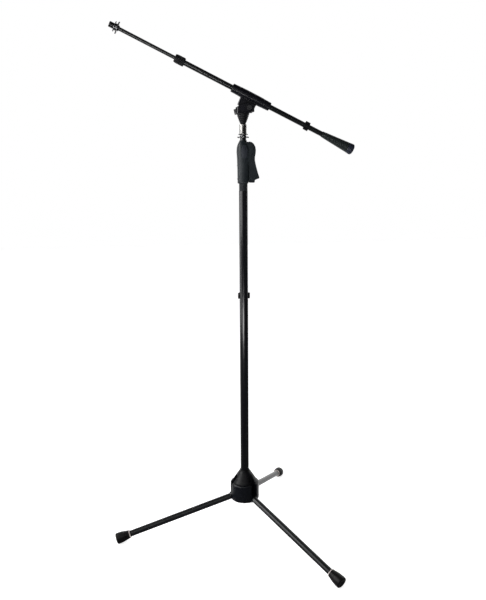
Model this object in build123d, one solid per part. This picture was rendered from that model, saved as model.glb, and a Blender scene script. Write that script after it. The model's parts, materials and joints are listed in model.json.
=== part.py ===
from build123d import *
import os
from math import sin, cos, tan, radians, degrees, atan2, sqrt, pi

# Boom microphone stand. Millimetres, +Z up. The origin is on the pole axis at
# floor level. The boom and its tilt lie in the XZ plane: microphone end
# towards -X, counterweight towards +X. One leg points along -X, the other two
# stand 60 degrees either side of +X.

# ---------------------------------------------------------------- dimensions
# legs
leg_azimuths = {"left": 180.0, "right": -60.0, "rear": 60.0}
leg_pivot_r = 33.0          # leg pin from the pole axis
leg_pivot_z = 121.6
foot_end_r = 398.3          # centre of the foot's end face
foot_end_z = 13.6
leg_tube_r, leg_tube_ri = 9.2, 8.0
knuckle_r = 9.6
knuckle_half_w = 8.6
leg_pin_r = 3.0
foot_len = 41.0
foot_r_end = 16.3

# hub
hub_r = 44.0
hub_z0, hub_z1 = 109.5, 164.6
hub_slot_half = 9.8
hub_slot_x = 21.0
cap_top_z = 204.0

# pole and mast
pole_r, pole_ri = 12.7, 11.5
pole_z0, pole_z1 = 125.0, 1054.0
mast_r, mast_ri = 9.0, 7.9
mast_z0, mast_z1 = 330.0, 1201.2
mast_bore_r = 9.3           # guides that the mast slides in
clip_z = 750.5
clip_len = 17.0

# one-hand clutch
clutch_z0, clutch_z1 = 1075.0, 1193.2
lever_x, lever_z = 20.0, 1168.0
lever_half_w = 8.6
lever_slot_half = 9.2
lever_pin_r = 2.0
lock_plate_z = 1150.0

# threaded top and head
stud_r = 7.94               # 5/8 inch stand thread, major radius
nut_z0, nut_z1 = 1201.8, 1212.1
socket_r = 10.5
socket_z0, socket_z1 = 1212.4, 1238.3
cone_z0, cone_z1 = 1238.6, 1268.0
spindle_r = 4.0
tilt_x, tilt_z = 14.0, 1282.0
tilt_bolt_r = 4.0
yoke_x0, yoke_x1 = -18.0, 29.0
yoke_half_w, yoke_slot_half = 18.0, 9.0
yoke_floor_z = 1270.5

# boom
boom_tilt = 25.19           # microphone end above the horizontal, degrees
boom_e = 31.1               # boom axis above the tilt bolt
sleeve_u0, sleeve_u1 = -54.2, 63.4
sleeve_r = 13.3
boom_r, boom_ri = 7.25, 6.2
boom_in_r, boom_in_ri = 4.95, 4.0
grip_u0, grip_u1 = 208.1, 237.4
grip_r = 11.9
clip_u = -174.5
weight_u0, weight_u1 = -226.1, -329.3
mic_end_u = 425.7

leg_len = sqrt((foot_end_r - leg_pivot_r) ** 2 + (leg_pivot_z - foot_end_z) ** 2)
leg_slope = degrees(atan2(leg_pivot_z - foot_end_z, foot_end_r - leg_pivot_r))

# ------------------------------------------------------------------- helpers
def rod_z(z0, z1, r, x=0.0, y=0.0):
    return Pos(x, y, (z0 + z1) / 2) * Cylinder(r, abs(z1 - z0))

def rod_x(x0, x1, r, y=0.0, z=0.0):
    return Pos((x0 + x1) / 2, y, z) * Rot(0, 90, 0) * Cylinder(r, abs(x1 - x0))

def rod_y(y0, y1, r, x=0.0, z=0.0):
    return Pos(x, (y0 + y1) / 2, z) * Rot(90, 0, 0) * Cylinder(r, abs(y1 - y0))

def block(x0, x1, y0, y1, z0, z1):
    return Pos((x0 + x1) / 2, (y0 + y1) / 2, (z0 + z1) / 2) * Box(abs(x1 - x0), abs(y1 - y0), abs(z1 - z0))

def turned(points):
    """Solid of revolution about Z from (radius, height) points."""
    face = make_face(Polyline(*[(r, 0, z) for r, z in points], close=True))
    return revolve(face, Axis.Z)

def slab(points, y0, y1):
    """Plate with an outline of (x, z) points, between y0 and y1."""
    face = make_face(Polyline(*[(x, y0, z) for x, z in points], close=True))
    return extrude(face, amount=y1 - y0, dir=(0, 1, 0))

def soften(solid, edges, *radii):
    for r in radii:
        try:
            out = fillet(edges, r)
            if out.is_valid and out.volume > 0:
                return out
        except Exception:
            continue
    return solid

def save(name, shape):
    shape = Compound(children=list(shape.solids())) if len(shape.solids()) > 1 else shape.solids()[0]
    shape.label = name
    export_step(shape, f"parts/{name}.step")

os.makedirs("parts", exist_ok=True)

# ----------------------------------------------------------------------- hub
body = turned([(0, hub_z0), (hub_r - 3.5, hub_z0), (hub_r - 1.0, hub_z0 + 1.0), (hub_r, hub_z0 + 3.5),
               (hub_r, hub_z1 - 4.0), (hub_r - 1.2, hub_z1 - 1.2), (hub_r - 4.0, hub_z1), (0, hub_z1)])
body -= rod_z(pole_z0, hub_z1 + 5, pole_r)
body -= rod_z(hub_z0 - 1, pole_z0 + 1, 4.0)
body -= rod_z(hub_z0 - 1, 112.3, 30.5)
pin_side = {"left": -1, "right": 1, "rear": 1}      # the side each pivot pin is driven in from
for name, az in leg_azimuths.items():
    body -= Rot(0, 0, az) * block(hub_slot_x, 70, -hub_slot_half, hub_slot_half, hub_z0 - 5, hub_z1 + 5)
    body -= Rot(0, 0, az) * rod_y(-26 * pin_side[name], 60 * pin_side[name], leg_pin_r, leg_pivot_r, leg_pivot_z)
save("hub_housing", body)

cap = turned([(pole_r, hub_z1), (38.0, hub_z1), (38.2, hub_z1 + 2.0), (36.8, 168.6), (34.0, 172.6), (33.2, 174.4), (30.0, 178.8),
              (29.2, 180.6), (25.8, 185.4), (25.0, 187.2), (21.6, 192.0), (20.8, 193.8), (17.4, 198.4), (15.2, 200.6),
              (14.8, cap_top_z), (pole_r, cap_top_z)])
for az in leg_azimuths.values():
    cap -= Rot(0, 0, az) * block(22.6, 70, -hub_slot_half, hub_slot_half, hub_z1 - 5, cap_top_z + 5)
save("hub_top_cap", cap)

save("hub_detent_disc", turned([(4.0, 109.9), (29.2, 109.9), (30.0, 110.6), (30.0, 112.1), (4.0, 112.1)]))
save("detent_wave_spring", turned([(4.6, 107.6), (12.0, 108.7), (12.0, 109.9), (4.6, 108.8)]))
bolt = Pos(0, 0, 103.2) * extrude(RegularPolygon(7.2, 6), 4.4)
bolt += rod_z(107.6, 140.0, 4.0)
save("hub_centre_bolt", bolt)
save("pole_foot_plug", turned([(4.0, pole_z0), (pole_ri, pole_z0), (pole_ri, 147.0), (0, 147.0), (0, 140.0), (4.0, 140.0)]))

pins, washers = [], []
for name, az in leg_azimuths.items():
    pins.append(Rot(0, 0, az) * rod_y(-25.5 * pin_side[name], 26.5 * pin_side[name], leg_pin_r, leg_pivot_r, leg_pivot_z))
    for y0 in (9.0, -9.8):
        w = rod_y(y0, y0 + 0.8, 8.4, leg_pivot_r, leg_pivot_z) - rod_y(y0 - 1, y0 + 2, leg_pin_r, leg_pivot_r, leg_pivot_z)
        washers.append(Rot(0, 0, az) * w)
save("leg_pivot_pins", Compound(children=[s for p in pins for s in p.solids()]))
save("leg_friction_washers", Compound(children=[s for w in washers for s in w.solids()]))

# ---------------------------------------------------------------------- legs
leg_frame = Pos(leg_pivot_r, 0, leg_pivot_z) * Rot(0, leg_slope, 0)
knuckle = rod_y(-knuckle_half_w, knuckle_half_w, knuckle_r)
knuckle += block(0, 12.5, -knuckle_half_w, knuckle_half_w, -9.1, 9.1)
knuckle += rod_x(12.5, 48.0, leg_tube_ri)
knuckle -= rod_y(-20, 20, leg_pin_r + 0.06)
knuckle -= block(-12, -9.0, -20, 20, -12, 12)
tube = rod_x(12.5, leg_len - 17, leg_tube_r) - rod_x(0, leg_len, leg_tube_ri)
f0 = leg_len - foot_len
foot = Rot(0, 90, 0) * turned([(0, f0 + 24), (leg_tube_r, f0 + 24), (leg_tube_r, f0), (11.6, f0), (12.2, f0 + 1.2),
                                (12.6, f0 + 6), (14.9, f0 + 16), (16.0, f0 + 25), (foot_r_end, f0 + 31),
                                (foot_r_end, f0 + 37.5), (15.4, f0 + 39.8), (13.0, leg_len), (0, leg_len)])
ring = Rot(0, 90, 0) * turned([(leg_tube_r, f0 - 2.6), (10.9, f0 - 2.6), (11.4, f0 - 2.0), (11.4, f0), (leg_tube_r, f0)])
for name, az in leg_azimuths.items():
    place = Rot(0, 0, az) * leg_frame
    save(f"leg_knuckle_{name}", place * knuckle)
    save(f"leg_tube_{name}", place * tube)
    save(f"foot_{name}", (place * foot) - block(-500, 500, -500, 500, -60, 0))
    save(f"foot_ring_{name}", place * ring)

# ---------------------------------------------------------------------- pole
save("pole_tube", rod_z(pole_z0, pole_z1, pole_r) - rod_z(pole_z0 - 1, pole_z1 + 1, pole_ri))

def cable_clip(r, length, hold_r):
    """Snap-on clip along Z: a C that grips a tube of radius r and is open
    towards -Y, with a smaller C behind it, open towards +Y, for a cable."""
    ro = r + 2.4
    c = Cylinder(ro, length)
    yc = r + 2.0 + hold_r
    c += Pos(0, yc, 0) * Cylinder(hold_r + 2.0, length)
    for s in (1, -1):
        c += Pos(s * (r + 2.3), -1.5, 0) * Cylinder(3.0, length)
    c -= Cylinder(r, length + 2)
    c -= Pos(0, yc, 0) * Cylinder(hold_r, length + 2)
    c -= block(-r * 0.86, r * 0.86, -3 * r, -r * 0.3, -length, length)
    c -= block(-3 * r, 3 * r, -3 * r, -5.2, -length, length)
    c -= block(-hold_r * 0.62, hold_r * 0.62, yc, yc + 2 * hold_r + 4, -length, length)
    return c

save("pole_cable_clip", Pos(0, 0, clip_z) * cable_clip(pole_r, clip_len, 3.6))

# -------------------------------------------------------------------- clutch
clutch_profile = [(15.0, 1075.0), (16.0, 1076.2), (16.5, 1079.5), (16.9, 1120.0), (17.4, 1140.0), (18.3, 1155.0),
                  (18.8, 1166.0), (18.2, 1174.0), (16.4, 1181.5), (13.9, 1187.5), (11.6, 1191.6), (11.0, 1193.2)]

def clutch_round(grow):
    pts = [(r + grow, z) for r, z in clutch_profile]
    return turned([(0, clutch_z0)] + pts + [(0, clutch_z1)])

ear = [(-2, 1188), (9.0, 1190.6), (15.0, 1190.2), (21.0, 1186.8), (25.0, 1180.0), (26.4, 1171.0), (25.2, 1162.0),
       (20.8, 1152.0), (16.6, 1143.5), (14.0, 1134.0), (-2, 1134.0)]
shell = clutch_round(0.0)
shell += slab(ear, -13.6, 13.6)
shell -= rod_z(1079.5, 1112.0, 13.2)
shell -= rod_z(1119.0, 1178.0, 13.2)
shell -= rod_z(1070, 1200, mast_bore_r)
shell -= rod_z(1177.9, 1200, 10.6)
shell -= block(8.0, 70, -lever_slot_half, lever_slot_half, 1070, 1200)
shell -= rod_y(-12.1, 12.1, lever_pin_r, lever_x, lever_z)
oval = Pos(0, -30, 1163.0) * Rot(90, 0, 0) * extrude(Ellipse(9.2, 19.0), -18)
band = oval & (clutch_round(0.35) - clutch_round(-1.5))
shell -= oval & (clutch_round(2.0) - clutch_round(-1.5))
screws = None
for z, rr in ((1088.0, 14.6), (1126.0, 14.9), (1162.0, 16.0)):
    x = -rr + 1.0
    s = rod_y(-7.6, 6.4, 1.4, x, z) + rod_y(6.4, 8.4, 2.7, x, z)
    shell -= rod_y(-7.6, 6.4, 1.4, x, z) + rod_y(6.4, 30, 2.7, x, z)
    screws = s if screws is None else screws + s
front = shell & block(-60, 60, -60, 0, 1000, 1300)
rear = shell & block(-60, 60, 0, 60, 1000, 1300)
save("clutch_front_shell", front)
save("clutch_rear_shell", rear)
save("clutch_grip_inlay", band)
save("clutch_screws", screws)
save("clutch_spigot", turned([(mast_bore_r, 1030.0), (pole_ri - 0.4, 1030.0), (pole_ri, 1031.0), (pole_ri, pole_z1),
                               (12.1, pole_z1), (12.1, clutch_z0), (mast_bore_r, clutch_z0)]))
save("clutch_top_bush", turned([(mast_bore_r, 1178.2), (10.6, 1178.2), (10.6, 1193.2), (10.4, 1194.6), (mast_bore_r, 1194.6)]))

plate = (Cylinder(12.4, 3.0) - Cylinder(10.2, 5.0))
save("clutch_lock_plate", Pos(-12, 0, lock_plate_z) * Rot(0, -3, 0) * Pos(12, 0, 0) * plate)
coil = sweep(Plane(origin=(11.3, 0, 1119.8), z_dir=(0, 1, 0)) * Circle(0.65),
             path=Pos(0, 0, 1119.8) * Helix(5.2, 26.0, 11.3))
save("clutch_plate_spring", coil)

lever_outline = [(12.4, 1186.5), (14.2, 1190.3), (17.6, 1191.6), (24.0, 1189.6), (30.2, 1184.4), (34.0, 1177.0),
                 (35.5, 1168.0), (34.7, 1158.0), (32.8, 1149.0), (32.6, 1141.0), (34.4, 1131.0), (37.6, 1118.0),
                 (41.6, 1104.0), (45.6, 1092.6), (45.0, 1089.4), (38.5, 1087.2), (32.6, 1084.6), (31.8, 1078.6),
                 (30.6, 1077.4), (19.6, 1077.4), (18.8, 1079.0), (18.6, 1135.0), (16.0, 1146.0), (16.0, 1176.0), (12.8, 1182.0)]
lever = slab(lever_outline, -lever_half_w, lever_half_w)
walls = [(15.2, 1079.0), (22.0, 1078.0), (22.0, 1140.0), (15.2, 1142.0)]
for y0 in (-lever_half_w, 6.9):
    lever += slab(walls, y0, y0 + 1.7)
lever -= slab([(17.5, 1076), (28.0, 1076), (30.5, 1090), (33.5, 1104), (29.0, 1122), (26.0, 1136), (17.5, 1136)], -6.4, 6.4)
lever -= rod_y(-20, 20, lever_pin_r + 0.06, lever_x, lever_z)
outer_edges = [e for e in lever.edges().filter_by(Axis.Y, reverse=True)
               if abs(abs(e.center().Y) - lever_half_w) < 0.01 and e.center().X > 30.0]
lever = soften(lever, outer_edges, 2.0, 1.2, 0.6)
save("clutch_lever", lever)
save("clutch_lever_pin", rod_y(-12.0, 12.0, lever_pin_r, lever_x, lever_z))

# ---------------------------------------------------------------------- mast
save("mast_tube", rod_z(mast_z0, mast_z1, mast_r) - rod_z(mast_z0 - 1, mast_z1 + 1, mast_ri))
save("mast_guide_bush", rod_z(mast_z0 - 4, mast_z0 + 20, pole_ri - 0.3) - rod_z(mast_z0, mast_z0 + 30, mast_r) - rod_z(mast_z0 - 9, mast_z0 + 1, mast_ri - 1))
stud = rod_z(1176.0, mast_z1, mast_ri) + rod_z(mast_z1, 1227.0, stud_r)
stud = stud - rod_z(1170, 1230, 2.6)
save("mast_top_stud", stud)

def star_flange(z, thick, root_r, tip_r, count, half_w):
    """Pressed flange with rounded prongs."""
    f = Pos(0, 0, z + thick / 2) * Cylinder(root_r, thick)
    prong = Polygon((root_r - 3.0, -half_w), (tip_r - 1.8, -half_w * 0.82), (tip_r - 0.4, -half_w * 0.5), (tip_r, 0),
                    (tip_r - 0.4, half_w * 0.5), (tip_r - 1.8, half_w * 0.82), (root_r - 3.0, half_w), align=None)
    for i in range(count):
        f += Rot(0, 0, 360 / count * i) * Pos(0, 0, z) * extrude(prong, thick)
    return f

def star_nut(bore):
    """Star lock nut on Z: a large star flange at its lower face, a turned
    collar, and a smaller star flange above."""
    n = turned([(0, 0), (10.0, 0), (10.4, 0.5), (10.4, 2.9), (9.4, 3.6), (9.4, 7.6), (10.2, 8.3), (10.2, 10.0), (9.8, 10.3), (0, 10.3)])
    n += star_flange(0.3, 2.3, 12.4, 16.4, 8, 3.0)
    n += star_flange(8.5, 1.6, 10.9, 13.6, 8, 2.5)
    return n - Cylinder(bore, 60)

save("mast_star_nut", Pos(0, 0, nut_z0) * star_nut(stud_r + 0.08))

# ---------------------------------------------------------------------- head
socket = turned([(stud_r, socket_z0), (socket_r - 0.5, socket_z0), (socket_r, socket_z0 + 0.6), (socket_r, socket_z1 - 0.6),
                 (socket_r - 0.5, socket_z1), (spindle_r, socket_z1), (spindle_r, 1227.0), (stud_r, 1227.0)])
save("swivel_socket", socket)
save("swivel_spindle", rod_z(1227.0, 1262.0, spindle_r) + rod_z(1262.0, 1266.0, 7.4))
cone = turned([(spindle_r + 0.06, cone_z0), (7.2, cone_z0), (8.4, 1241.0), (8.4, 1242.6), (10.6, 1245.5), (10.4, 1247.0),
               (12.6, 1250.5), (12.4, 1252.0), (14.4, 1255.5), (14.2, 1257.0), (16.2, 1260.5), (16.0, 1262.0),
               (17.4, 1265.0), (18.2, 1266.2), (18.2, cone_z1), (8.0, cone_z1), (8.0, 1261.7), (spindle_r + 0.06, 1261.7)])
save("swivel_cone", cone)

cheek = [(yoke_x0 + 1.5, cone_z1), (18.4, cone_z1), (19.6, cone_z1 + 3.0), (yoke_x1 - 1.0, cone_z1 + 3.0), (yoke_x1, cone_z1 + 4.0),
         (yoke_x1, 1288.3), (yoke_x1 - 1.5, 1291.3), (23.0, 1293.8), (8.0, 1294.3), (0.0, 1292.6), (-8.0, 1289.6),
         (-14.5, 1287.8), (yoke_x0, 1285.6), (yoke_x0, cone_z1 + 1.5)]
yoke = slab(cheek, -yoke_half_w, yoke_half_w)
yoke -= block(-60, 60, -yoke_slot_half, yoke_slot_half, yoke_floor_z, 1400)
yoke -= rod_y(-40, 40, tilt_bolt_r, tilt_x, tilt_z)
rim = slab([(yoke_x0 - 0.6, cone_z1), (18.2, cone_z1), (19.0, cone_z1 + 2.2), (yoke_x0 - 0.6, cone_z1 + 2.2)], -yoke_half_w - 0.8, yoke_half_w + 0.8)
yoke += rim
# the floor stops short at both ends so that the tilt block can swing past it
yoke -= block(11.0, 60, -yoke_slot_half, yoke_slot_half, cone_z1 - 1, yoke_floor_z + 1)
yoke -= block(-60, -5.0, -yoke_slot_half, yoke_slot_half, cone_z1 - 1, yoke_floor_z + 1)
save("tilt_yoke", yoke)

tilt_washers = None
for y0 in (8.3, -9.0):
    w = rod_y(y0, y0 + 0.7, 10.0, tilt_x, tilt_z) - rod_y(y0 - 1, y0 + 2, tilt_bolt_r, tilt_x, tilt_z)
    tilt_washers = w if tilt_washers is None else tilt_washers + w
save("tilt_friction_washers", tilt_washers)
tilt_bolt = rod_y(-yoke_half_w - 0.8, 31.0, tilt_bolt_r, tilt_x, tilt_z)
head = rod_y(-yoke_half_w - 4.6, -yoke_half_w, 6.7, tilt_x, tilt_z)
head -= Pos(tilt_x, -yoke_half_w - 4.7, tilt_z) * Rot(90, 0, 0) * extrude(RegularPolygon(3.4, 6), -2.4)
tilt_bolt += head
save("tilt_bolt", tilt_bolt)

# handle on the far side of the yoke
hy0, hy1 = yoke_half_w + 1.2, yoke_half_w + 15.0
handle = rod_y(hy0, hy1, 9.0, tilt_x, tilt_z)
arm_dir = atan2(-7.0, -30.0)
arm = Pos(tilt_x, 0, tilt_z) * Rot(0, -degrees(arm_dir), 0) * (
    block(0, 30, hy0 + 3.5, hy1, -5.6, 5.6) + block(22, 34.5, hy0 + 3.5, hy1, -7.6, 7.6))
handle += arm
handle -= rod_y(hy0 - 1, 31.3, tilt_bolt_r + 0.06, tilt_x, tilt_z)
long_edges = [e for e in handle.edges() if e.center().Y > hy1 - 0.01]
handle = soften(handle, long_edges, 2.0, 1.2)
save("tilt_handle", handle)

# ---------------------------------------------------------------------- boom
# Boom frame: x runs from the tilt bolt towards the counterweight, z is square
# to the boom and up; u is the distance from the bolt towards the microphone.
boom_frame = Pos(tilt_x, 0, tilt_z) * Rot(0, boom_tilt, 0)

def along_boom(points):
    """Turned piece on the boom axis from (radius, u) points."""
    face = make_face(Polyline(*[(-u, 0, r) for r, u in points], close=True))
    return Pos(0, 0, boom_e) * revolve(face, Axis.X)

def tube_u(u0, u1, ro, ri):
    return rod_x(-u1, -u0, ro, 0, boom_e) - rod_x(-u1 - 1, -u0 + 1, ri, 0, boom_e)

u0, u1 = sleeve_u0, sleeve_u1
clamp = along_boom([(0, u0), (11.5, u0), (11.9, u0 + 0.5), (12.6, u0 + 20.0), (12.1, u0 + 20.6), (12.2, u0 + 22.0), (12.9, u0 + 22.6),
                    (sleeve_r, u0 + 42), (sleeve_r, u1 - 42), (12.9, u1 - 22.6), (12.2, u1 - 22.0), (12.1, u1 - 20.6), (12.6, u1 - 20.0),
                    (12.0, u1 - 0.5), (11.6, u1), (0, u1)])
web = [(-32.4, boom_e - 2), (-31.4, 13.0), (-30.9, 0.0), (-30.0, -2.6), (-20.5, -4.2), (-9.0, -6.6), (-5.0, -9.8), (0.0, -11.0),
       (6.0, -9.4), (10.2, -5.0), (16.0, 6.0), (17.0, boom_e - 2)]
clamp += slab(web, -8.0, 8.0)
clamp -= rod_x(-u1 - 1, -u0 + 1, 9.4, 0, boom_e)
clamp -= rod_y(-20, 20, tilt_bolt_r + 0.06)
save("boom_clamp", boom_frame * clamp)
bushes = tube_u(u0, u0 + 18, 9.4, boom_r + 0.3) + tube_u(u1 - 18, u1, 9.4, boom_r + 0.3)
save("boom_clamp_bushes", boom_frame * bushes)

save("boom_outer_tube", boom_frame * tube_u(weight_u0 - 86.0, 214.0, boom_r, boom_ri))
save("boom_inner_tube", boom_frame * tube_u(20.0, 397.0, boom_in_r, boom_in_ri))
save("boom_inner_bush", boom_frame * tube_u(20.0, 34.0, boom_ri - 0.3, boom_in_r))
collet = along_boom([(boom_in_r + 0.3, 190.0), (boom_ri, 190.0), (boom_ri, 214.0), (7.2, 214.0), (7.2, 228.0), (6.5, 232.4), (boom_in_r + 0.3, 232.4)])
save("boom_collet", boom_frame * collet)
g0, g1 = grip_u0, grip_u1
grip = along_boom([(boom_r + 0.3, g0), (10.6, g0), (11.5, g0 + 1.0), (grip_r, g0 + 4), (grip_r, g1 - 7), (11.0, g1 - 2.0), (9.6, g1),
                   (boom_in_r + 0.3, g1), (boom_in_r + 0.3, g1 - 4.2), (boom_r + 0.3, g1 - 4.2)])
for i in range(12):
    grip -= Pos(0, 0, boom_e) * Rot(30 * i, 0, 0) * rod_x(-g1 + 7.5, -g0 - 3.5, 1.1, 0, grip_r + 0.35)
save("boom_twist_grip", boom_frame * grip)

stud = along_boom([(0, 372.0), (boom_in_ri, 372.0), (boom_in_ri, 397.0), (6.4, 397.0), (7.0, 397.6), (7.0, 401.2), (7.36, 401.6),
                   (7.36, 411.9), (stud_r, 411.9), (stud_r, mic_end_u), (0, mic_end_u)])
save("mic_thread_stud", boom_frame * stud)
nut = star_nut(7.42)      # minor radius of the nut's thread
save("mic_star_nut", boom_frame * Pos(-401.4, 0, boom_e) * Rot(0, -90, 0) * nut)

clip = Rot(0, 90, 0) * cable_clip(boom_r, 14.0, 2.8)
save("boom_cable_clip", boom_frame * Pos(-clip_u, 0, boom_e) * clip)

w0, w1 = weight_u0, weight_u1
core = along_boom([(boom_r, w0 - 26.0), (8.7, w0 - 26.0), (10.0, w0 - 50.0), (12.0, w0 - 80.0), (12.0, w0 - 84.0), (boom_r, w0 - 84.0)])
save("counterweight_core", boom_frame * core)
cover = along_boom([(boom_r, w0), (8.0, w0), (8.5, w0 - 0.8), (8.5, w0 - 6.4), (9.0, w0 - 7.6), (10.3, w0 - 32.0), (12.0, w0 - 55.0), (14.0, w0 - 78.0),
                    (14.6, w0 - 84.5), (boom_r, w0 - 84.5), (boom_r, w0 - 84.0), (12.0, w0 - 84.0), (12.0, w0 - 80.0), (10.0, w0 - 50.0),
                    (8.7, w0 - 26.0), (boom_r, w0 - 26.0)])
save("counterweight_cover", boom_frame * cover)
cap_pts = [(0, w0 - 86.0), (boom_r, w0 - 86.0), (boom_r, w0 - 84.5), (14.6, w0 - 84.5), (15.9, w0 - 98.4), (15.8, w0 - 100.2), (15.1, w0 - 101.8),
           (13.8, w0 - 102.7), (8.0, w1 + 0.15), (0, w1)]
save("counterweight_end_cap", boom_frame * along_boom(cap_pts))
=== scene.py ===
import json
import math
import bmesh
import bpy
from mathutils import Matrix, Vector, noise


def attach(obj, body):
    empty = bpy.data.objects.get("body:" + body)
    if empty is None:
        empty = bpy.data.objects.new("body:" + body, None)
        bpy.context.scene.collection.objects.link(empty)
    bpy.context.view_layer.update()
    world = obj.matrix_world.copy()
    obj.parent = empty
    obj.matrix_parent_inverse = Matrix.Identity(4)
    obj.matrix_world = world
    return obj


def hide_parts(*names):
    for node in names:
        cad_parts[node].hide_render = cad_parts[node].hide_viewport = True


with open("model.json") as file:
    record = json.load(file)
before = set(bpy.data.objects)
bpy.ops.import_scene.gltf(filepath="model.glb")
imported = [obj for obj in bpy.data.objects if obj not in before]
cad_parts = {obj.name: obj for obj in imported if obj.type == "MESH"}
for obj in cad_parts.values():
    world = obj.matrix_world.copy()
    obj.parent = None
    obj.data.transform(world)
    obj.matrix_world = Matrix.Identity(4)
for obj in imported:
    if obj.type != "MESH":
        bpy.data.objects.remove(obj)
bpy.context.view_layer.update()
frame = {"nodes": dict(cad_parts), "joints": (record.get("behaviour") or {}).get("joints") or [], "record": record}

NODES = frame["nodes"]
JOINTS = {j["name"]: j for j in frame["joints"]}
NODE_BODY = {n: b for b, ns in frame["record"]["behaviour"]["bodies"].items() for n in ns}
NODE_SLOT = {s["node"]: s["material_slot"] for s in frame["record"]["subparts"]}
MM = 0.001

# ------------------------------------------------------------------ camera
def make_camera():
    cam = bpy.data.objects.new("camera", bpy.data.cameras.new("camera"))
    bpy.context.scene.collection.objects.link(cam)
    cam.data.lens = 38.33
    cam.data.sensor_width = 36.0
    cam.data.clip_start, cam.data.clip_end = 0.05, 60.0
    yaw, pitch, roll = math.radians(-10.99), math.radians(90 - 10.55), math.radians(-0.298)
    m = Matrix.Rotation(yaw, 4, "Z") @ Matrix.Rotation(pitch, 4, "X") @ Matrix.Rotation(roll, 4, "Z")
    cam.matrix_world = Matrix.Translation((-0.3561, -1.8199, 1.0822)) @ m
    bpy.context.scene.camera = cam
    return cam

make_camera()

# --------------------------------------------------------------- materials
class Nodes:
    """A small builder for one material's node tree."""
    def __init__(self, name):
        self.mat = bpy.data.materials.new(name)
        self.mat.use_nodes = True
        self.t = self.mat.node_tree
        self.t.nodes.clear()
        self.out = self.t.nodes.new("ShaderNodeOutputMaterial")
        self.b = self.t.nodes.new("ShaderNodeBsdfPrincipled")
        self.t.links.new(self.b.outputs[0], self.out.inputs[0])
        self.coord = self.t.nodes.new("ShaderNodeTexCoord")

    def add(self, kind, **values):
        n = self.t.nodes.new(kind)
        for k, v in values.items():
            setattr(n, k, v)
        return n

    def link(self, a, b):
        self.t.links.new(a, b)

    def space(self, scale=(1, 1, 1), rotation=(0, 0, 0)):
        m = self.add("ShaderNodeMapping")
        m.inputs["Scale"].default_value = scale
        m.inputs["Rotation"].default_value = rotation
        self.link(self.coord.outputs["Object"], m.inputs["Vector"])
        return m.outputs[0]

    def noise(self, scale, detail=4.0, rough=0.55, stretch=(1, 1, 1), rotation=(0, 0, 0), distortion=0.0):
        n = self.add("ShaderNodeTexNoise")
        n.inputs["Scale"].default_value = scale
        n.inputs["Detail"].default_value = detail
        n.inputs["Roughness"].default_value = rough
        n.inputs["Distortion"].default_value = distortion
        self.link(self.space(stretch, rotation), n.inputs["Vector"])
        return n.outputs[0]

    def ramp(self, value, stops):
        r = self.add("ShaderNodeValToRGB")
        while len(r.color_ramp.elements) > 1:
            r.color_ramp.elements.remove(r.color_ramp.elements[-1])
        for i, (pos, col) in enumerate(stops):
            e = r.color_ramp.elements[0] if i == 0 else r.color_ramp.elements.new(pos)
            e.position = pos
            e.color = (*col, 1) if len(col) == 3 else col
        self.link(value, r.inputs[0])
        return r.outputs[0]

    def spread(self, value, lo, hi, a=0.3, b=0.7):
        m = self.add("ShaderNodeMapRange")
        m.inputs["From Min"].default_value, m.inputs["From Max"].default_value = a, b
        m.inputs["To Min"].default_value, m.inputs["To Max"].default_value = lo, hi
        self.link(value, m.inputs["Value"])
        return m.outputs[0]

    def math(self, op, a, b):
        m = self.add("ShaderNodeMath", operation=op)
        for i, v in enumerate((a, b)):
            if isinstance(v, (int, float)):
                m.inputs[i].default_value = v
            else:
                self.link(v, m.inputs[i])
        return m.outputs[0]

    def bump(self, heights):
        last = None
        for h, strength, distance in heights:
            b = self.add("ShaderNodeBump")
            b.inputs["Strength"].default_value = strength
            b.inputs["Distance"].default_value = distance
            self.link(h, b.inputs["Height"])
            if last is not None:
                self.link(last, b.inputs["Normal"])
            last = b.outputs[0]
        self.link(last, self.b.inputs["Normal"])

    def set(self, **values):
        for k, v in values.items():
            self.b.inputs[k.replace("_", " ")].default_value = v


def painted(name, dark, light, rough=(0.16, 0.30), coat=0.0, metallic=0.0, spec=0.5, peel=0.25, dust=0.0, streak=(1, 1, 1)):
    """Powder coat or gloss paint: colour clouding, orange peel, faint dust and
    rubbed streaks in the gloss."""
    n = Nodes(name)
    cloud = n.noise(14.0, 3.0, stretch=streak)
    fine = n.noise(900.0, 2.0)
    dusty = n.noise(120.0, 6.0, 0.7)
    col = n.ramp(cloud, [(0.3, dark), (0.7, light)])
    if dust:
        mix = n.add("ShaderNodeMix", data_type="RGBA")
        n.link(n.spread(dusty, 0.0, dust, 0.55, 0.8), mix.inputs[0])
        n.link(col, mix.inputs[6])
        mix.inputs[7].default_value = (0.20, 0.19, 0.185, 1)
        col = mix.outputs[2]
    n.link(col, n.b.inputs["Base Color"])
    rub = n.noise(60.0, 5.0, 0.65, stretch=streak)
    n.link(n.spread(rub, rough[0], rough[1]), n.b.inputs["Roughness"])
    n.bump([(fine, peel, 0.00006), (n.noise(230.0, 2.0), peel * 0.6, 0.0001)])
    n.set(Metallic=metallic, Specular_IOR_Level=spec, Coat_Weight=coat, Coat_Roughness=0.06)
    return n.mat


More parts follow.
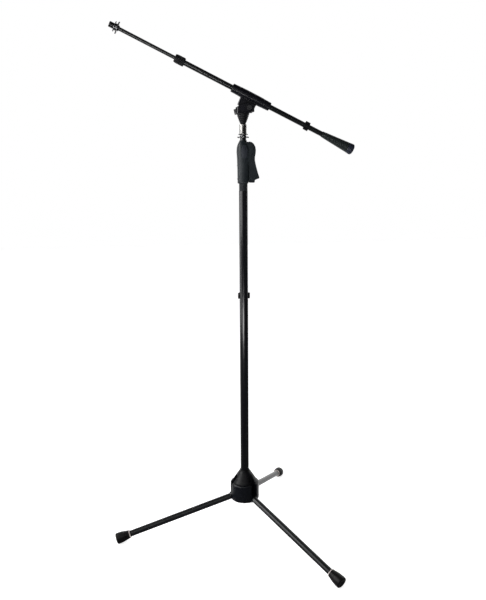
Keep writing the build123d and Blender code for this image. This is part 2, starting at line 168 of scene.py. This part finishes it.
def moulded(name, dark, light, rough=(0.38, 0.55), grain=1400.0, grain_h=0.00006, strength=0.35, spec=0.45, dust=0.10, sheen=0.0):
    """Moulded plastic or rubber: spark-eroded grain, clouding, faint dust."""
    n = Nodes(name)
    cloud = n.noise(35.0, 4.0)
    mix = n.add("ShaderNodeMix", data_type="RGBA")
    n.link(n.spread(n.noise(260.0, 6.0, 0.7), 0.0, dust, 0.52, 0.8), mix.inputs[0])
    n.link(n.ramp(cloud, [(0.32, dark), (0.68, light)]), mix.inputs[6])
    mix.inputs[7].default_value = (0.22, 0.215, 0.21, 1)
    n.link(mix.outputs[2], n.b.inputs["Base Color"])
    n.link(n.spread(n.noise(85.0, 5.0, 0.6), rough[0], rough[1]), n.b.inputs["Roughness"])
    v = n.add("ShaderNodeTexVoronoi")
    v.inputs["Scale"].default_value = grain
    n.link(n.coord.outputs["Object"], v.inputs["Vector"])
    n.bump([(v.outputs["Distance"], strength, grain_h), (n.noise(grain * 0.4, 3.0), strength * 0.7, grain_h)])
    n.set(Specular_IOR_Level=spec, Sheen_Weight=sheen, Sheen_Roughness=0.5)
    return n.mat


def metal(name, dark, light, rough=(0.08, 0.2), brush=(1, 1, 1), brush_scale=500.0, brush_strength=0.1, aniso=0.0):
    """Plated or turned metal: tiny pits, tool marks, smudged gloss."""
    n = Nodes(name)
    cloud = n.noise(70.0, 5.0, 0.6)
    n.link(n.ramp(cloud, [(0.3, dark), (0.7, light)]), n.b.inputs["Base Color"])
    marks = n.noise(brush_scale, 3.0, 0.6, stretch=brush)
    n.link(n.math("ADD", n.spread(n.noise(180.0, 6.0, 0.7), rough[0], rough[1]), n.spread(marks, -0.02, 0.03)), n.b.inputs["Roughness"])
    n.bump([(marks, brush_strength, 0.00004)])
    n.set(Metallic=1.0, Anisotropic=aniso)
    return n.mat


MATS = {
    "hub_black": painted("hub_black", (0.0020, 0.0026, 0.0042), (0.0042, 0.0052, 0.0080), rough=(0.24, 0.36), peel=0.14, dust=0.015, spec=0.4),
    "black_plastic": moulded("black_plastic", (0.0028, 0.0029, 0.0036), (0.0055, 0.0056, 0.0068), rough=(0.30, 0.42), dust=0.015, spec=0.22, strength=0.18),
    "zinc_steel": metal("zinc_steel", (0.42, 0.42, 0.43), (0.60, 0.60, 0.60), rough=(0.25, 0.4)),
    "black_oxide": metal("black_oxide", (0.075, 0.075, 0.080), (0.12, 0.12, 0.125), rough=(0.38, 0.52), brush_strength=0.15),
    "black_chrome": metal("black_chrome", (0.10, 0.10, 0.105), (0.17, 0.17, 0.17), rough=(0.10, 0.22), brush_strength=0.12),
    "nylon_black": moulded("nylon_black", (0.007, 0.009, 0.011), (0.012, 0.015, 0.017), rough=(0.45, 0.6), dust=0.03, spec=0.2),
    "black_steel": painted("black_steel", (0.003, 0.003, 0.004), (0.0055, 0.0055, 0.007), rough=(0.10, 0.18), peel=0.08, dust=0.012, spec=0.6, streak=(6, 6, 0.25)),
    "clutch_black": moulded("clutch_black", (0.008, 0.011, 0.013), (0.013, 0.017, 0.020), rough=(0.32, 0.44), dust=0.03, spec=0.30),
    "grip_rubber": moulded("grip_rubber", (0.012, 0.015, 0.021), (0.019, 0.023, 0.031), rough=(0.5, 0.65), grain=2200.0, dust=0.04, sheen=0.05, spec=0.3),
    "nickel": metal("nickel", (0.30, 0.295, 0.285), (0.42, 0.41, 0.395), rough=(0.08, 0.18)),
    "head_black": painted("head_black", (0.0020, 0.0020, 0.0036), (0.0042, 0.0042, 0.0066), rough=(0.26, 0.36), peel=0.08, dust=0.01, spec=0.30),
    "boom_black": painted("boom_black", (0.004, 0.0045, 0.005), (0.007, 0.008, 0.0085), rough=(0.12, 0.22), peel=0.12, dust=0.02, streak=(0.4, 6, 6)),
    "leg_black": painted("leg_black", (0.005, 0.006, 0.007), (0.010, 0.011, 0.012), rough=(0.14, 0.24), peel=0.15, dust=0.02),
    "weight_rubber": moulded("weight_rubber", (0.006, 0.009, 0.009), (0.011, 0.015, 0.015), rough=(0.36, 0.5), sheen=0.03, dust=0.03, spec=0.34, strength=0.22),
    "weight_cap": moulded("weight_cap", (0.007, 0.009, 0.018), (0.012, 0.015, 0.027), rough=(0.32, 0.45), dust=0.03, spec=0.34, strength=0.22),
    "foot_rubber": moulded("foot_rubber", (0.0030, 0.0026, 0.0030), (0.0055, 0.0048, 0.0052), rough=(0.34, 0.46), grain=1700.0, strength=0.18, dust=0.02, spec=0.24),
    "ring_pale": moulded("ring_pale", (0.60, 0.52, 0.50), (0.75, 0.68, 0.66), rough=(0.3, 0.45), dust=0.05),
}

def dress(o, slot):
    o.data.materials.clear()
    o.data.materials.append(MATS[slot])
    for p in o.data.polygons if o.type == "MESH" else []:
        p.material_index = 0

for name, o in NODES.items():
    dress(o, NODE_SLOT[name])

# ------------------------------------------------------------ mesh helpers
def new_object(name, mesh):
    o = bpy.data.objects.new(name, mesh)
    bpy.context.scene.collection.objects.link(o)
    return o

def from_bmesh(name, bm, smooth_angle=40.0):
    bmesh.ops.recalc_face_normals(bm, faces=bm.faces)
    mesh = bpy.data.meshes.new(name)
    bm.to_mesh(mesh)
    bm.free()
    mesh.shade_smooth()
    if smooth_angle is not None:
        mesh.set_sharp_from_angle(angle=math.radians(smooth_angle))
    return new_object(name, mesh)

def apply_modifiers(o):
    dg = bpy.context.evaluated_depsgraph_get()
    mesh = bpy.data.meshes.new_from_object(o.evaluated_get(dg))
    old = o.data
    o.modifiers.clear()
    o.data = mesh
    bpy.data.meshes.remove(old)
    return o

def place(o, node, body=None, slot=None, replaces=True):
    slot = slot or NODE_SLOT[node]
    dress(o, slot)
    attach(o, body or NODE_BODY[node])
    if replaces:
        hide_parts(node)
    return o

def rounded(node, voxel, passes=3, factor=0.5, name=None, axis=None):
    """A copy of a CAD piece with its edges eased the way a casting or a
    moulding has them. With an axis, the prongs round it are plumped by the
    thickness of their plating and rolled edges."""
    src = NODES[node]
    o = new_object(name or node + "_skin", src.data.copy())
    m = o.modifiers.new("remesh", "REMESH")
    m.mode = "VOXEL"
    m.voxel_size = voxel * MM
    m.adaptivity = 0.0
    s = o.modifiers.new("ease", "SMOOTH")
    s.factor, s.iterations = factor, passes
    apply_modifiers(o)
    o.data.shade_smooth()
    if axis:
        normals = [v.normal.copy() for v in o.data.vertices]
        for v, n in zip(o.data.vertices, normals):
            w = v.co - axis.o
            r = (w - w.dot(axis.d) * axis.d).length / MM
            v.co += n * (0.45 * MM * min(1.0, max(0.0, (r - 9.6) / 1.2)))
    return place(o, node)

REC = frame["record"]["behaviour"]
RJ = {j["name"]: j for j in REC["joints"]}
MIC = next(m for m in frame["record"]["mounts"] if m["name"] == "mic_thread")

class Axis:
    """A turning axis: a origin, a direction and two square directions."""
    def __init__(self, origin, direction, side):
        self.o, self.d = Vector(origin), Vector(direction).normalized()
        self.a = (Vector(side) - Vector(side).dot(self.d) * self.d).normalized()
        self.b = self.d.cross(self.a)

    def point(self, along, r, phi):
        return self.o + self.d * (along * MM) + (self.a * math.cos(phi) + self.b * math.sin(phi)) * (r * MM)

    def span(self, node):
        """Lowest and highest place of a CAD node along the axis, and its largest radius, in mm."""
        lo, hi, big = 1e9, -1e9, 0.0
        for v in NODES[node].data.vertices:
            w = v.co - self.o
            t = w.dot(self.d)
            lo, hi, big = min(lo, t), max(hi, t), max(big, (w - t * self.d).length)
        return lo / MM, hi / MM, big / MM

BOLT = Vector(RJ["boom_tilt"]["pos_m"])
BOOM_U = Vector(RJ["boom_slide"]["axis"]).normalized()
BOOM_V = Vector((BOOM_U.z, 0.0, -BOOM_U.x))
BOOM = Axis(BOLT + BOOM_V * (Vector(MIC["pos_m"]) - BOLT).dot(BOOM_V), BOOM_U, (0, 1, 0))
POLE = Axis((0, 0, 0), (0, 0, 1), (1, 0, 0))

def turned(name, axis, profile, segments=96, dr=None, smooth_angle=32.0):
    """A turned piece from (radius, place along the axis) points in mm; dr
    adds to the radius at (place, angle)."""
    bm = bmesh.new()
    rings = []
    for r, t in profile:
        if r < 1e-4:
            rings.append([bm.verts.new(axis.point(t, 0, 0))])
        else:
            rings.append([bm.verts.new(axis.point(t, r + (dr(t, k * math.tau / segments) if dr else 0.0), k * math.tau / segments)) for k in range(segments)])
    for p, q in zip(rings, rings[1:]):
        for k in range(segments):
            n = (k + 1) % segments
            if len(p) == 1 and len(q) == 1:
                continue
            if len(p) == 1:
                bm.faces.new((p[0], q[k], q[n]))
            elif len(q) == 1:
                bm.faces.new((p[k], p[n], q[0]))
            else:
                bm.faces.new((p[k], p[n], q[n], q[k]))
    if len(rings[0]) > 1 and len(rings[-1]) > 1:
        for k in range(segments):
            n = (k + 1) % segments
            bm.faces.new((rings[-1][k], rings[-1][n], rings[0][n], rings[0][k]))
    return from_bmesh(name, bm, smooth_angle)

def helix(major, depth, pitch, start, end, lead=1.2):
    """Radius change for a V thread between two places on the axis."""
    def f(t, phi):
        if t < start - 1e-6 or t > end + 1e-6:
            return 0.0
        x = ((t - start) / pitch - phi / math.tau) % 1.0
        tooth = abs(2 * x - 1)
        fade = min(1.0, (t - start) / lead, (end - t) / (lead * 0.5) + 0.35)
        return -depth * max(0.0, fade) * min(1.0, tooth * 1.25)
    return f

def fill(lo, hi, step):
    n = max(1, round((hi - lo) / step))
    return [lo + (hi - lo) * k / n for k in range(n + 1)]

# -------------------------------------------------------- turned pieces
def mic_stud():
    node = "mic_thread_stud"
    lo, hi, big = BOOM.span(node)
    nut_lo, nut_hi, _ = BOOM.span("mic_star_nut")
    start = nut_lo - 3.6
    body = [(0, lo), (4.0, lo), (4.0, start - 0.6), (6.4, start - 0.6), (7.0, start), (7.36, start + 0.5), (7.36, nut_hi + 0.05)]
    body += [(big, t) for t in fill(nut_hi + 0.1, hi - 0.9, 0.16)]
    body += [(big - 0.5, hi - 0.35), (big - 0.95, hi), (3.1, hi), (2.6, hi - 0.5), (2.6, hi - 4.0), (0, hi - 5.2)]
    o = turned(node + "_threaded", BOOM, body, 72, helix(big, 0.52, 0.941, nut_hi + 0.1, hi - 0.9), 50.0)
    place(o, node)

def socket():
    node = "swivel_socket"
    lo, hi, r = POLE.span(node)
    bore = 8.02
    p = [(bore, lo), (r - 0.9, lo), (r - 0.25, lo + 0.3), (r, lo + 0.9), (r, lo + 2.4), (r - 0.3, lo + 2.6), (r - 0.3, lo + 3.3), (r, lo + 3.5)]
    p += [(r, hi - 3.4), (r - 0.3, hi - 3.2), (r - 0.3, hi - 2.5), (r, hi - 2.3), (r, hi - 0.9), (r - 0.25, hi - 0.3), (r - 0.9, hi), (4.0, hi), (4.0, hi - 11.3), (bore, hi - 11.3)]
    place(turned(node + "_turned", POLE, p, 96), node)

def foot(name):
    node = f"foot_{name}"
    pivot = Vector(RJ[f"leg_{name}_fold"]["pos_m"])
    verts = NODES[f"leg_tube_{name}"].data.vertices
    middle = sum((v.co for v in verts), Vector()) / len(verts)
    axis = Axis(pivot, middle - pivot, (0, 0, 1))
    lo, hi, big = axis.span(node)
    p = [(0, 24), (9.6, 24), (9.6, 0.0), (11.2, 0.0), (11.9, 0.35), (12.2, 1.2), (12.35, 3.6), (11.9, 4.1), (11.9, 5.0), (12.8, 5.6), (13.5, 9.4),
         (13.0, 9.9), (13.0, 10.8), (14.1, 11.5), (14.8, 15.4), (14.3, 15.9), (14.3, 16.8), (15.3, 17.5), (15.9, 22.5), (16.15, 27.0), (big, 31.0),
         (big, 37.0), (big - 0.35, 38.6), (big - 1.3, 39.9), (big - 2.6, 40.6), (big - 3.6, 40.8), (10.4, 40.2), (9.6, 38.9), (2.4, 38.6), (1.6, 39.6), (0, 39.8)]
    o = turned(node + "_moulded", axis, [(r, lo + t) for r, t in p], 96, None, 38.0)
    for v in o.data.vertices:
        if v.co.z < 0.0:
            v.co.z = 0.0
    place(o, node)
    ring = f"foot_ring_{name}"
    a, b, rr = axis.span(ring)
    q = [(9.6, a), (rr - 0.7, a), (rr - 0.2, a + 0.25), (rr, a + 0.8), (rr, b - 0.5), (rr - 0.2, b), (9.6, b)]
    place(turned(ring + "_turned", axis, q, 96), ring)

def twist_grip():
    node = "boom_twist_grip"
    lo, hi, big = BOOM.span(node)
    flute_lo, flute_hi = lo + 3.2, hi - 6.8
    def dr(t, phi):
        if not flute_lo <= t <= flute_hi:
            return 0.0
        ends = min(1.0, (t - flute_lo) / 1.6, (flute_hi - t) / 1.6)
        return -0.85 * max(0.0, ends) ** 0.5 * max(0.0, math.cos(16 * phi)) ** 1.5
    inner = [(5.25, hi - 4.2), (7.55, hi - 4.2)]
    p = [(7.55, lo), (10.2, lo), (11.0, lo + 0.4), (11.5, lo + 1.2), (11.6, lo + 2.2), (big, lo + 2.9)]
    p += [(big, t) for t in fill(flute_lo, flute_hi, 0.8)]
    p += [(big - 0.2, hi - 6.0), (11.2, hi - 3.0), (10.7, hi - 1.2), (10.1, hi - 0.3), (9.4, hi), (5.25, hi)] + inner
    place(turned(node + "_fluted", BOOM, p, 192, dr, 40.0), node)

def weight():
    node = "counterweight_cover"
    lo, hi, big = BOOM.span(node)
    pts = [(8.5, hi - 0.8), (8.5, hi - 6.4), (9.0, hi - 7.6), (10.3, hi - 32.0), (12.0, hi - 55.0), (14.0, hi - 78.0), (14.6, lo)]
    p = [(7.27, hi), (8.0, hi)]
    p += [(8.35, hi - 0.4), (8.5, hi - 1.0), (8.5, hi - 5.8), (8.2, hi - 6.1), (8.2, hi - 6.7), (8.9, hi - 7.3), (9.05, hi - 8.2)]
    xs = fill(hi - 9.0, lo + 1.0, 2.6)
    for t in xs:
        for (r0, t0), (r1, t1) in zip(pts, pts[1:]):
            if t1 <= t <= t0:
                p.append((r0 + (r1 - r0) * (t0 - t) / (t0 - t1), t))
                break
    p += [(big - 0.1, lo + 0.3), (big - 0.35, lo), (7.27, lo)]
    place(turned(node + "_skin", BOOM, p, 128, None, 30.0), node)
    node = "counterweight_end_cap"
    lo, hi, big = BOOM.span(node)
    p = [(0, hi), (13.9, hi), (14.25, hi - 0.2), (14.4, hi - 0.6), (14.45, hi - 0.9)]
    p += [(14.7 + (big - 14.7) * k / 6, hi - 1.6 - (hi - 1.6 - lo - 6.2) * k / 6) for k in range(7)]
    p += [(big, lo + 4.6), (big - 0.3, lo + 2.9), (big - 1.1, lo + 1.5), (big - 2.4, lo + 0.6), (big - 4.0, lo + 0.25), (11.4, lo + 0.1), (10.9, lo + 0.45), (10.5, lo + 0.5), (10.0, lo + 0.1), (6.0, lo + 0.02), (0, lo)]
    place(turned(node + "_skin", BOOM, p, 128, None, 30.0), node)


# -------------------------------------------------------------------- stage
def stage():
    bpy.context.scene.view_settings.view_transform = "Standard"
    bm = bmesh.new()
    bmesh.ops.create_grid(bm, x_segments=2, y_segments=2, size=9.0)
    floor = from_bmesh("floor", bm)
    n = Nodes("floor_white")
    n.link(n.ramp(n.noise(1.5, 2.0), [(0.3, (0.90, 0.90, 0.90)), (0.7, (0.92, 0.92, 0.92))]), n.b.inputs["Base Color"])
    n.link(n.spread(n.noise(6.0), 0.55, 0.65), n.b.inputs["Roughness"])
    n.set(Specular_IOR_Level=0.1, Emission_Color=(1.0, 1.0, 1.0, 1.0), Emission_Strength=0.80)
    floor.data.materials.append(n.mat)
    floor.visible_glossy = False

    # A pale studio: a white sweep behind the stand, a dim room in front of it.
    world = bpy.data.worlds.new("studio")
    bpy.context.scene.world = world
    world.use_nodes = True
    t = world.node_tree
    bg = t.nodes["Background"]
    coord = t.nodes.new("ShaderNodeTexCoord")
    sep = t.nodes.new("ShaderNodeSeparateXYZ")
    t.links.new(coord.outputs["Generated"], sep.inputs[0])
    back = t.nodes.new("ShaderNodeMapRange")
    back.interpolation_type = "SMOOTHSTEP"
    back.inputs["From Min"].default_value, back.inputs["From Max"].default_value = 0.15, 0.85
    back.inputs["To Min"].default_value, back.inputs["To Max"].default_value = 0.035, 1.0
    t.links.new(sep.outputs[1], back.inputs["Value"])
    path = t.nodes.new("ShaderNodeLightPath")
    top = t.nodes.new("ShaderNodeMath")
    top.operation = "MAXIMUM"
    t.links.new(path.outputs["Is Camera Ray"], top.inputs[0])
    t.links.new(back.outputs[0], top.inputs[1])
    t.links.new(top.outputs[0], bg.inputs[1])
    bg.inputs[0].default_value = (1.0, 1.0, 1.0, 1)

    def area(name, loc, target, size, power, spread=180.0, colour=(1, 1, 1)):
        l = bpy.data.lights.new(name, "AREA")
        l.shape = "RECTANGLE"
        l.size, l.size_y = size
        l.energy = power
        l.spread = math.radians(spread)
        l.color = colour
        o = bpy.data.objects.new(name, l)
        bpy.context.scene.collection.objects.link(o)
        o.location = loc
        o.rotation_mode = "QUATERNION"
        o.rotation_quaternion = (Vector(target) - Vector(loc)).to_track_quat("-Z", "Y")
    area("left_strip", (-2.6, 0.15, 1.15), (0, 0, 0.85), (0.40, 2.3), 24)
    area("right_strip", (2.5, 0.9, 1.3), (0, 0, 0.85), (0.35, 2.0), 10)
    area("front_fill", (-1.9, -2.4, 2.6), (0, 0, 0.8), (1.2, 1.2), 3)
    area("low_strip", (-1.0, -1.75, 0.22), (-0.1, 0, 1.35), (1.9, 0.22), 2.5, 62.0)
    area("left_soft", (-2.4, -1.25, 1.35), (0, 0, 1.35), (2.2, 1.3), 24)
    area("upper_left", (-2.1, -0.1, 2.2), (0.1, -0.1, 0.1), (1.3, 0.8), 18)
    area("over_camera", (-0.62, -2.5, 1.75), (-0.2, 0, 0.1), (1.8, 0.3), 6)

stage()

mic_stud()
socket()
for leg in ("left", "right", "rear"):
    foot(leg)
twist_grip()
weight()

# CAD pieces whose edges are eased
for node, voxel, passes in (
    ("hub_housing", 0.8, 3), ("hub_top_cap", 0.6, 3), ("clutch_front_shell", 0.5, 4), ("clutch_rear_shell", 0.5, 4),
    ("clutch_lever", 0.5, 4), ("tilt_yoke", 0.45, 3), ("tilt_handle", 0.45, 4), ("boom_clamp", 0.5, 3),
    ("pole_cable_clip", 0.35, 3), ("boom_cable_clip", 0.3, 3), ("mast_star_nut", 0.28, 2), ("mic_star_nut", 0.28, 2),
    ("swivel_cone", 0.35, 2),
):
    rounded(node, voxel, passes, axis={"mast_star_nut": POLE, "mic_star_nut": BOOM}.get(node))
